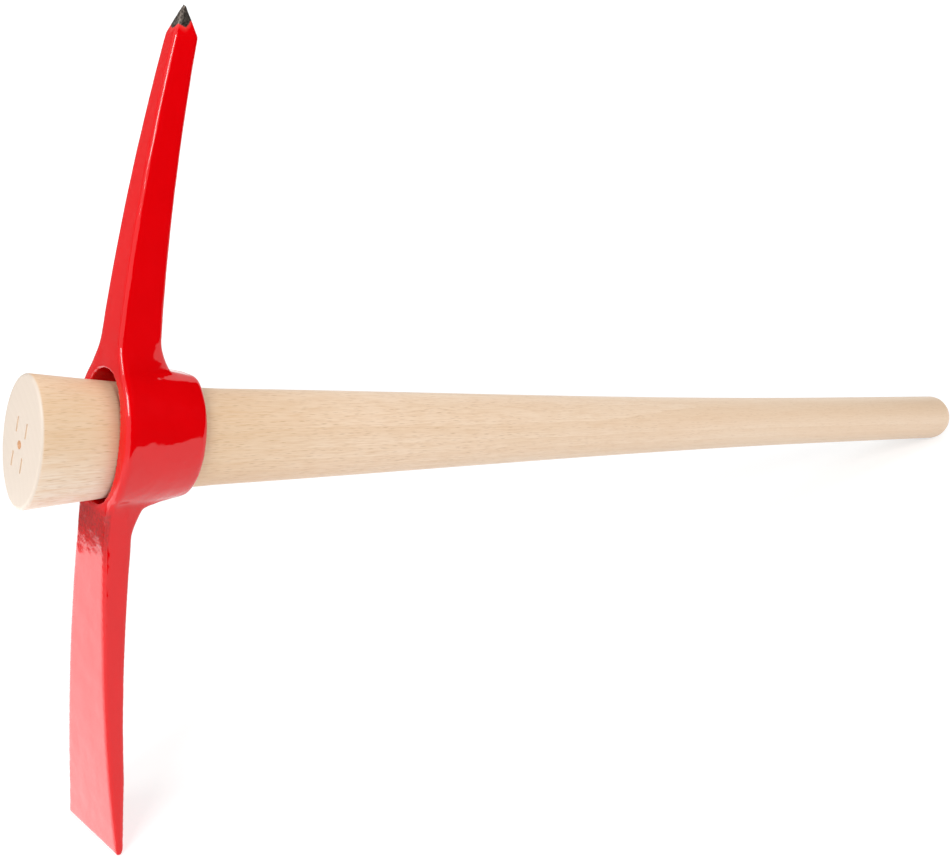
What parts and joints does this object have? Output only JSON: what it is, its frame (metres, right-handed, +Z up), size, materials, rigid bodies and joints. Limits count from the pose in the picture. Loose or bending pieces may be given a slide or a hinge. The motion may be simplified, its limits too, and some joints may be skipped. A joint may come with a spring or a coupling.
{
  "type": "pick axe",
  "caption": "Pick axe standing on its blade and grip: a red enamelled forged head with a square point and a chisel blade, slipped over the flared end of a turned beech handle.",
  "frame": {"origin": "on the ground, under the middle of the standing tool's length and on its plane of symmetry", "axes": "+X along the ground from the head towards the end of the grip, +Y across the tool, +Z up; the point rises and the blade and the grip's end stand on the ground"},
  "size_m": [0.929, 0.067, 0.4791],
  "materials": {
    "beech": "turned and sanded, clear matt",
    "red_enamel": "glossy red enamel over forged steel, ground bare at the tip of the point"
  },
  "bodies": {
    "head": {"head": "red_enamel"},
    "handle": {"handle": "beech"}
  },
  "joints": [
    {"name": "handle_slide", "type": "slide", "parent": "head", "child": "handle", "axis": [-0.967, 0, 0.2549], "range_m": [0, 0.91]}
  ]
}
